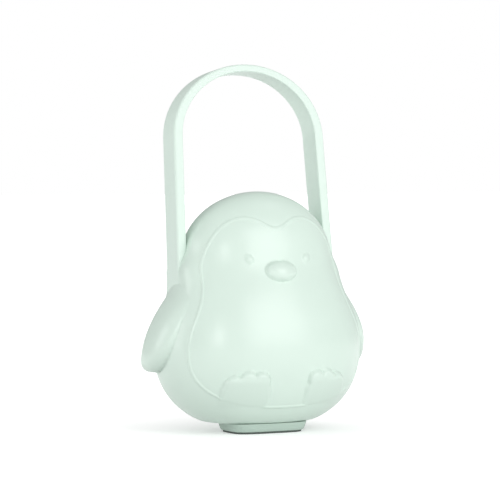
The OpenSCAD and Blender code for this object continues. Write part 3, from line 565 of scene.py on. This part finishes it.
def innerOutline(inset, back, count):
    # the shells' inner face on a plane behind the widest one, drawn in squarely
    f = form
    wall = f["wall"]
    low = f["bellyZ"] - (f["bellyDown"] - wall) * math.sqrt(1 - (back / (f["bellyBack"] - wall)) ** 2)
    high = f["headZ"] + (f["headUp"] - wall) * math.sqrt(1 - (back / (f["headBack"] - wall)) ** 2)
    half = count // 2
    z = low + (high - low) * (1 - np.cos(np.pi * np.arange(half + 1) / half)) / 2
    n = squareness(z)
    depth = backDepth(z, wall)
    x = halfWidth(z, wall) * np.clip(1 - (back / np.maximum(depth, back)) ** n, 0, None) ** (1 / n)
    x[0] = x[-1] = 0
    points = np.stack([np.concatenate([x[:-1], -x[:0:-1]]), np.concatenate([z[:-1], z[:0:-1]])], 1)
    return points - inset * outward(points)


def outward(outline):
    # unit normals of a closed outline that runs counter-clockwise
    along = np.roll(outline, -1, 0) - np.roll(outline, 1, 0)
    return np.stack([along[:, 1], -along[:, 0]], 1) / np.linalg.norm(along, axis=1)[:, None]


# the rings run from the cup's bottom to its mouth at 1, and back inside
chamberCup = dict(depth=30, wall=0.8, power=2.4, mouthIn=8.65, mouthY=partY - 3, segments=176,
                  outerRings=(0.03, 1, 48), innerRings=(1.02, 1.97, 48), slack=0.001, shading=60)


def buildCup(material):
    s = chamberCup
    n = s["segments"]
    bm = polarSheet(n, list(np.linspace(*s["outerRings"])) + list(np.linspace(*s["innerRings"])))
    t, phi = polarPlaces(bm)[:2]
    j = np.round(phi / (2 * np.pi) * n).astype(int) % n
    outer = t < 1 + s["slack"]
    outMouth = innerOutline(s["mouthIn"] - s["wall"], form["partBack"], n)[j]
    inMouth = innerOutline(s["mouthIn"], form["partBack"], n)[j]
    mouth = np.where(outer[:, None], outMouth, inMouth)
    turn = s["innerRings"][0]
    a = np.pi / 2 * np.clip(np.where(outer, 1 - t, (t - turn) / (2 - turn)), 0, 1)
    shrink, forward = np.cos(a) ** (2 / s["power"]), np.sin(a) ** (2 / s["power"])
    depth = np.where(outer, s["depth"], s["depth"] - s["wall"])
    heights = innerOutline(0, form["partBack"], n)[:, 1]
    midZ = (heights.min() + heights.max()) / 2
    place(bm, np.stack([mouth[:, 0] * shrink, s["mouthY"] - depth * forward,
                        midZ + (mouth[:, 1] - midZ) * shrink], 1))
    fillEnds(bm)
    finishPiece(bm, "chamberCup", material, "case", "chamber_cup", s["shading"])


doorSeal = dict(edgeIn=0.95, width=1.5, thick=1.9, back=partY + 1, planeBack=16.65, segments=240,
                backCorner=0.1, lipCorner=0.6, cornerSteps=4, shading=60)


def buildSeal(material):
    s = doorSeal
    middle = innerOutline(s["edgeIn"] + s["width"] / 2, s["planeBack"], s["segments"])
    radii = (s["backCorner"], s["backCorner"], s["lipCorner"], s["lipCorner"])
    section = roundedSection(s["width"], s["thick"], radii, s["cornerSteps"])
    stations = [[(x + n[0] * w, s["back"] - s["thick"] / 2 + h, z + n[1] * w) for w, h in section]
                for (x, z), n in zip(middle, outward(middle))]
    ring = sweep(stations, True)
    finishPiece(ring, "doorSeal", material, "door", "door_seal", s["shading"])


def linear(hexColour):
    # an sRGB hex colour as Blender's linear one
    rgb = [int(hexColour[i:i + 2], 16) / 255 for i in (1, 3, 5)]
    return [c / 12.92 if c <= 0.04045 else ((c + 0.055) / 1.055) ** 2.4 for c in rgb] + [1]


def addNode(tree, kind, settings=None, links=None):
    node = tree.nodes.new(kind)
    for key, value in (settings or {}).items():
        if isinstance(key, int) or key in node.inputs:
            node.inputs[key].default_value = value
        else:
            setattr(node, key, value)
    for key, socket in (links or {}).items():
        tree.links.new(socket, node.inputs[key])
    return node


def newMaterial(name):
    material = bpy.data.materials.new(name)
    material.use_nodes = True
    material.node_tree.nodes.clear()
    return material, material.node_tree


# sizes in millimetres; tone and roughness drift over the broad size
plastic = dict(broadSize=22, grainDetail=3.0, broadDetail=2.0, wander=0.04, mottle=0.02)


def mouldedSurface(name, colour, roughness, grainSize, grainDepth, extra=None, mottle=plastic["mottle"]):
    # a moulded plastic or rubber: fine mould grain, and roughness that wanders a little
    s = plastic
    material, tree = newMaterial(name)
    where = addNode(tree, "ShaderNodeTexCoord").outputs["Object"]
    grain = addNode(tree, "ShaderNodeTexNoise",
                    {"Scale": 1 / (grainSize * mm), "Detail": s["grainDetail"]}, {"Vector": where})
    broad = addNode(tree, "ShaderNodeTexNoise",
                    {"Scale": 1 / (s["broadSize"] * mm), "Detail": s["broadDetail"]}, {"Vector": where})
    spread = addNode(tree, "ShaderNodeMapRange",
                     {"To Min": roughness - s["wander"], "To Max": roughness + s["wander"]},
                     {"Value": broad.outputs["Fac"]})
    tone = addNode(tree, "ShaderNodeMapRange", {"To Min": 1 - mottle, "To Max": 1 + mottle},
                   {"Value": broad.outputs["Fac"]})
    base = addNode(tree, "ShaderNodeHueSaturation", {"Color": linear(colour)},
                   {"Value": tone.outputs["Result"]})
    bump = addNode(tree, "ShaderNodeBump", {"Strength": 1.0, "Distance": grainDepth * mm},
                   {"Height": grain.outputs["Fac"]})
    shader = addNode(tree, "ShaderNodeBsdfPrincipled", extra or {},
                     {"Base Color": base.outputs["Color"], "Roughness": spread.outputs["Result"],
                      "Normal": bump.outputs["Normal"]})
    addNode(tree, "ShaderNodeOutputMaterial", {}, {"Surface": shader.outputs["BSDF"]})
    return material


# the roughness runs between these shares of its middle value
metal = dict(waveDetail=2.0, smoothest=0.7, roughest=1.4)


def metalSurface(name, colour, roughness, waveSize, waveDepth):
    # a metal skin: slow waves in the surface and a roughness that varies with them
    s = metal
    material, tree = newMaterial(name)
    where = addNode(tree, "ShaderNodeTexCoord").outputs["Object"]
    wave = addNode(tree, "ShaderNodeTexNoise",
                   {"Scale": 1 / (waveSize * mm), "Detail": s["waveDetail"]}, {"Vector": where})
    spread = addNode(tree, "ShaderNodeMapRange",
                     {"To Min": roughness * s["smoothest"], "To Max": roughness * s["roughest"]},
                     {"Value": wave.outputs["Fac"]})
    bump = addNode(tree, "ShaderNodeBump", {"Strength": 1.0, "Distance": waveDepth * mm},
                   {"Height": wave.outputs["Fac"]})
    shader = addNode(tree, "ShaderNodeBsdfPrincipled", {"Base Color": linear(colour), "Metallic": 1.0},
                     {"Roughness": spread.outputs["Result"], "Normal": bump.outputs["Normal"]})
    addNode(tree, "ShaderNodeOutputMaterial", {}, {"Surface": shader.outputs["BSDF"]})
    return material


# satin moulded ABS: broad soft highlights over a pale mint body
mintAbs = mouldedSurface("satinMouldedAbs", "#dceee3", roughness=0.33, grainSize=0.5, grainDepth=0.003,
                         extra={"Coat Weight": 0.15, "Coat Roughness": 0.2})
# moulded silicone of the strap and port cover: painted light, a paler tone than the shell's mint that
# brightens the strap's dimly lit faces; and a wider, duller sheen than the shell's
mintSiliconePaintedLight = mouldedSurface("mouldedSiliconePaintedLight", "#e1f2e8", roughness=0.42, grainSize=0.6, grainDepth=0.001)
# moulded ABS of foot and bezel: painted shade, a darker tone than the shell's mint that stands in for the
# shadow under the belly's overhang; and duller
mintTrimPaintedShade = mouldedSurface("mouldedAbsTrimPaintedShade", "#bccfc4", roughness=0.42, grainSize=0.5, grainDepth=0.003)
# matt rubber of the foot pad: dark, with no highlight and fine pores; its dark tone is partly painted shade,
# the contact shadow along the foot's bottom edge
greyRubberAndShade = mouldedSurface("matRubberAndPaintedShade", "#59615d", roughness=0.8, grainSize=0.4, grainDepth=0.02)
# glass-filled nylon of the frames: even and nearly matt white
whiteNylon = mouldedSurface("glassFilledNylon", "#e9eeeb", roughness=0.5, grainSize=0.35, grainDepth=0.006)
# finely textured ABS of cradle and button: clean white with a soft edge to its highlights
whiteAbs = mouldedSurface("fineMattAbs", "#eef2ef", roughness=0.4, grainSize=0.5, grainDepth=0.003)
# vacuum metallised plastic: a bright mirror with the mould's slow waves
mirrorCoat = metalSurface("vacuumMetallisedMirror", "#e9ecee", roughness=0.09, waveSize=9, waveDepth=0.012)
# polished aluminium sheet of the door's reflector: a mirror a little greyer and softer
mirrorSheet = metalSurface("polishedAluminiumSheet", "#dfe3e6", roughness=0.13, waveSize=12, waveDepth=0.01)
# zinc plated steel of screws and pin: cool grey with blurred glints
platedSteel = metalSurface("zincPlatedSteel", "#b9bdc1", roughness=0.3, waveSize=1.2, waveDepth=0.004)
# nickel plated magnets: brighter, warmer and smoother than the screws
nickelPlate = metalSurface("nickelPlatedMagnet", "#c6c4bf", roughness=0.16, waveSize=1.5, waveDepth=0.002)
# stamped nickel shell of the charging socket: dull metal with soft edges to its glints
socketNickel = metalSurface("stampedNickelShell", "#aeb1b4", roughness=0.28, waveSize=0.9, waveDepth=0.003)
# aluminium laminate pouch of the cell: crinkled foil that breaks its reflections up
pouchFoil = metalSurface("aluminiumLaminatePouch", "#cfd3d6", roughness=0.38, waveSize=3.2, waveDepth=0.12)
# liquid silicone rubber of the seal: milky, with light that sinks in at its edges
sealSilicone = mouldedSurface("liquidSiliconeSeal", "#e4ebe7", roughness=0.55, grainSize=0.4,
                              grainDepth=0.006, extra={"Subsurface Weight": 0.15, "Subsurface Scale": 0.001})
# printed white solder mask of the lamp's board: a smooth, slightly creamy gloss
whiteMask = mouldedSurface("whiteSolderMask", "#f2f3ee", roughness=0.28, grainSize=0.25, grainDepth=0.002)
# printed green solder mask on glass epoxy: deep green gloss with cloudy tones
greenMask = mouldedSurface("greenSolderMask", "#2f7a52", roughness=0.26, grainSize=0.3, grainDepth=0.004,
                           mottle=0.06)
# sintered aluminium nitride of the ultraviolet chips: pale warm ceramic without shine
chipCeramic = mouldedSurface("aluminiumNitrideChip", "#d9cba0", roughness=0.5, grainSize=0.2, grainDepth=0.004)
# moulded black nylon of the push switch: near black with a faint satin light
blackNylon = mouldedSurface("blackNylonSwitch", "#232527", roughness=0.45, grainSize=0.3, grainDepth=0.004)
# frosted polycarbonate of the light pipe: pale and cloudy, with a little light passing through
frostedPipe = mouldedSurface("frostedPolycarbonate", "#f1f6f3", roughness=0.35, grainSize=0.3,
                             grainDepth=0.003, extra={"Transmission Weight": 0.5, "IOR": 1.58})

quartzWindow = dict(colour="#eef0fb", ior=1.458, polishSize=2, polishDetail=4.0,
                    smoothest=0.02, roughest=0.07)


def quartzGlass():
    # fused quartz: clear, with a faint violet in depth and very fine polish marks
    s = quartzWindow
    material, tree = newMaterial("fusedQuartzWindow")
    where = addNode(tree, "ShaderNodeTexCoord").outputs["Object"]
    polish = addNode(tree, "ShaderNodeTexNoise",
                     {"Scale": 1 / (s["polishSize"] * mm), "Detail": s["polishDetail"]}, {"Vector": where})
    spread = addNode(tree, "ShaderNodeMapRange", {"To Min": s["smoothest"], "To Max": s["roughest"]},
                     {"Value": polish.outputs["Fac"]})
    shader = addNode(tree, "ShaderNodeBsdfPrincipled",
                     {"Base Color": linear(s["colour"]), "Transmission Weight": 1.0, "IOR": s["ior"]},
                     {"Roughness": spread.outputs["Result"]})
    addNode(tree, "ShaderNodeOutputMaterial", {}, {"Surface": shader.outputs["BSDF"]})
    return material


quartz = quartzGlass()
# the solids that are shown as they are; the rest have a piece of their own below
dressing = {
    "board_screws": platedSteel, "lamp_board": whiteMask, "lamp_chips": chipCeramic,
    "main_board": greenMask, "tact_switch": blackNylon, "switch_plunger": blackNylon,
    "battery": pouchFoil, "usb_socket": socketNickel, "light_pipe": frostedPipe}
for name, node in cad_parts.items():
    for slot in node.material_slots:
        slot.material = dressing.get(name, whiteNylon)
print("solids dressed")

# the hinge's knuckles pass through both shells, and the back has openings for button, light and port
hinge = dict(inner=37.4, outer=46.9, low=28.0, high=52.0, knuckle=7.0, middle=9.4, fit=0.25,
             deep=3.25, past=1)
backHoles = dict(buttonZ=44, bezelR=7.5, bezelSteps=96, pipeZ=55, pipeR=1.4, pipeSteps=48, portZ=30.6,
                 pocketW=16.0, pocketH=8.2, pocketY=33.7, socketW=9.34, socketH=3.66, nearY=26, farY=60)


def frontCutters():
    h = hinge
    return [boxCutter(h["inner"], h["outer"], partY - h["deep"], partY + h["past"],
                      z - h["fit"], z + h["knuckle"] + h["fit"])
            for z in (h["low"], h["high"] - h["knuckle"])]


def rearCutters():
    h, b = hinge, backHoles
    middle = (h["low"] + h["high"]) / 2
    half = h["middle"] / 2 + h["fit"]

    def portCutter(width, height, nearY):
        return boxCutter(-width / 2, width / 2, nearY, b["farY"],
                         b["portZ"] - height / 2, b["portZ"] + height / 2)

    return [boxCutter(h["inner"], h["outer"], partY - h["past"], partY + h["deep"],
                      middle - half, middle + half),
            rodCutter(0, b["buttonZ"], b["bezelR"], b["nearY"], b["farY"], b["bezelSteps"]),
            rodCutter(0, b["pipeZ"], b["pipeR"], b["nearY"], b["farY"], b["pipeSteps"]),
            portCutter(b["pocketW"], b["pocketH"], b["pocketY"]),
            portCutter(b["socketW"], b["socketH"], b["nearY"])]


buildFrontShell(mintAbs, frontCutters())
print("front shell built")
buildRearShell(mintAbs, rearCutters())
print("rear shell built")
buildLoop(mintSiliconePaintedLight)
buildFoot(mintTrimPaintedShade, greyRubberAndShade)
buildCup(mirrorCoat)
buildSeal(sealSilicone)
print("loop, foot, cup and seal built")
for node, material, body, slot, bevel in (
        ("front_frame", whiteNylon, "case", "frame_white", 0.25),
        ("rear_frame", whiteNylon, "door", "frame_white", 0.2),
        ("pacifier_cradle", whiteAbs, "case", "cradle_white", 0.3),
        ("button_bezel", mintTrimPaintedShade, "door", "mint_trim", 0.25),
        ("power_button", whiteAbs, "power_button", "button_white", 0.3),
        ("port_cover", mintSiliconePaintedLight, "port_cover", "mint_band", 0.25),
        ("mirror_plate", mirrorSheet, "door", "plate_mirror", 0.08),
        ("quartz_window", quartz, "door", "quartz", 0.15),
        ("frame_screws", platedSteel, "case", "steel", 0.15),
        ("door_screws", platedSteel, "door", "steel", 0.15),
        ("foot_screws", platedSteel, "case", "steel", 0.15),
        ("hinge_pin", platedSteel, "case", "steel", 0.15),
        ("case_magnets", nickelPlate, "case", "magnet", 0.12),
        ("door_magnets", nickelPlate, "door", "magnet", 0.12)):
    softenedCopy(node, material, body, bevel)
print("inner pieces built")

# in metres: the floor, and how near and far its own glow changes
stage = dict(floorSize=6.0, floorColour="#ececec", worldLight=0.48,
             nearGlow=0.36, farGlow=0.95, near=0.03, far=0.17)


def buildFloor():
    bm = bmesh.new()
    bmesh.ops.create_grid(bm, x_segments=1, y_segments=1, size=stage["floorSize"])
    mesh = bpy.data.meshes.new("floor")
    bm.to_mesh(mesh)
    bm.free()
    floor = bpy.data.objects.new("floor", mesh)
    bpy.context.scene.collection.objects.link(floor)
    material, tree = newMaterial("whitePaperFloor")
    seen = addNode(tree, "ShaderNodeLightPath")
    paper = addNode(tree, "ShaderNodeBsdfDiffuse", {"Color": linear(stage["floorColour"])})
    direct = addNode(tree, "ShaderNodeMath", {"operation": "MAXIMUM"},
                     {0: seen.outputs["Is Camera Ray"], 1: seen.outputs["Is Glossy Ray"]})
    # away from the case the paper runs out into white, and close to it the soft shadow stays
    where = addNode(tree, "ShaderNodeTexCoord").outputs["Object"]
    away = addNode(tree, "ShaderNodeVectorMath", {"operation": "LENGTH"}, {0: where})
    glowHere = addNode(tree, "ShaderNodeMapRange", {"From Min": stage["near"], "From Max": stage["far"],
                                                    "To Min": stage["nearGlow"], "To Max": stage["farGlow"]},
                       {"Value": away.outputs["Value"]})
    glowLevel = addNode(tree, "ShaderNodeMath", {"operation": "MULTIPLY"},
                        {0: direct.outputs[0], 1: glowHere.outputs["Result"]})
    glow = addNode(tree, "ShaderNodeEmission", {}, {"Strength": glowLevel.outputs[0]})
    both = addNode(tree, "ShaderNodeAddShader", {}, {0: paper.outputs[0], 1: glow.outputs[0]})
    addNode(tree, "ShaderNodeOutputMaterial", {}, {"Surface": both.outputs[0]})
    mesh.materials.append(material)


def buildWorld():
    # white where the camera looks past the case, and a softer white as a light
    world = bpy.data.worlds.new("studio")
    bpy.context.scene.world = world
    world.use_nodes = True
    tree = world.node_tree
    tree.nodes.clear()
    seen = addNode(tree, "ShaderNodeLightPath")
    direct = addNode(tree, "ShaderNodeMath", {"operation": "MAXIMUM"},
                     {0: seen.outputs["Is Camera Ray"], 1: seen.outputs["Is Transmission Ray"]})
    level = addNode(tree, "ShaderNodeMapRange", {"To Min": stage["worldLight"], "To Max": 1.0},
                    {"Value": direct.outputs[0]})
    sky = addNode(tree, "ShaderNodeBackground", {"Color": (1, 1, 1, 1)},
                  {"Strength": level.outputs["Result"]})
    addNode(tree, "ShaderNodeOutputWorld", {}, {"Surface": sky.outputs[0]})


lampTarget = Vector((0, 0, 0.06))  # metres, as the lamps' places and sizes are


def addLamp(name, position, width, height, power):
    data = bpy.data.lights.new(name, "AREA")
    data.shape = "RECTANGLE"
    data.size, data.size_y = width, height
    data.energy = power
    lamp = bpy.data.objects.new(name, data)
    bpy.context.scene.collection.objects.link(lamp)
    lamp.location = position
    lamp.rotation_euler = (lampTarget - Vector(position)).to_track_quat("-Z", "Y").to_euler()


# the photograph's view: degrees, the distance in metres, the rest in millimetres, pixel is one pixel's size
view = dict(azimuth=27, elevation=2, distance=1.15, targetZ=75.3, left=2.9,
            pixel=0.4167, pixels=500, sensor=36)


def addCamera():
    s = view
    yaw, pitch = math.radians(s["azimuth"]), math.radians(s["elevation"])
    forward = Vector((math.sin(yaw) * math.cos(pitch), math.cos(yaw) * math.cos(pitch), -math.sin(pitch)))
    right = Vector((math.cos(yaw), -math.sin(yaw), 0))
    target = Vector((0, form["caseY"], s["targetZ"])) * mm - right * s["left"] * mm
    data = bpy.data.cameras.new("camera")
    data.sensor_width = s["sensor"]
    data.lens = s["sensor"] * s["distance"] / (s["pixels"] * s["pixel"] * mm)
    camera = bpy.data.objects.new("camera", data)
    bpy.context.scene.collection.objects.link(camera)
    camera.location = target - forward * s["distance"]
    camera.rotation_euler = forward.to_track_quat("-Z", "Y").to_euler()
    bpy.context.scene.camera = camera


buildFloor()
buildWorld()
addLamp("key", (0.33, -1.02, 0.44), width=0.72, height=0.8, power=5.85)
addLamp("strip", (-0.58, -0.97, 0.31), width=0.2, height=0.38, power=1.7)
addLamp("side", (-1.0, 0.3, 0.28), width=0.6, height=0.6, power=2.8)
addLamp("top", (0.42, -0.08, 0.95), width=0.25, height=0.25, power=0.3)
addCamera()
print("studio built")
bpy.context.scene.view_settings.view_transform = "Standard"

print("scene ready")
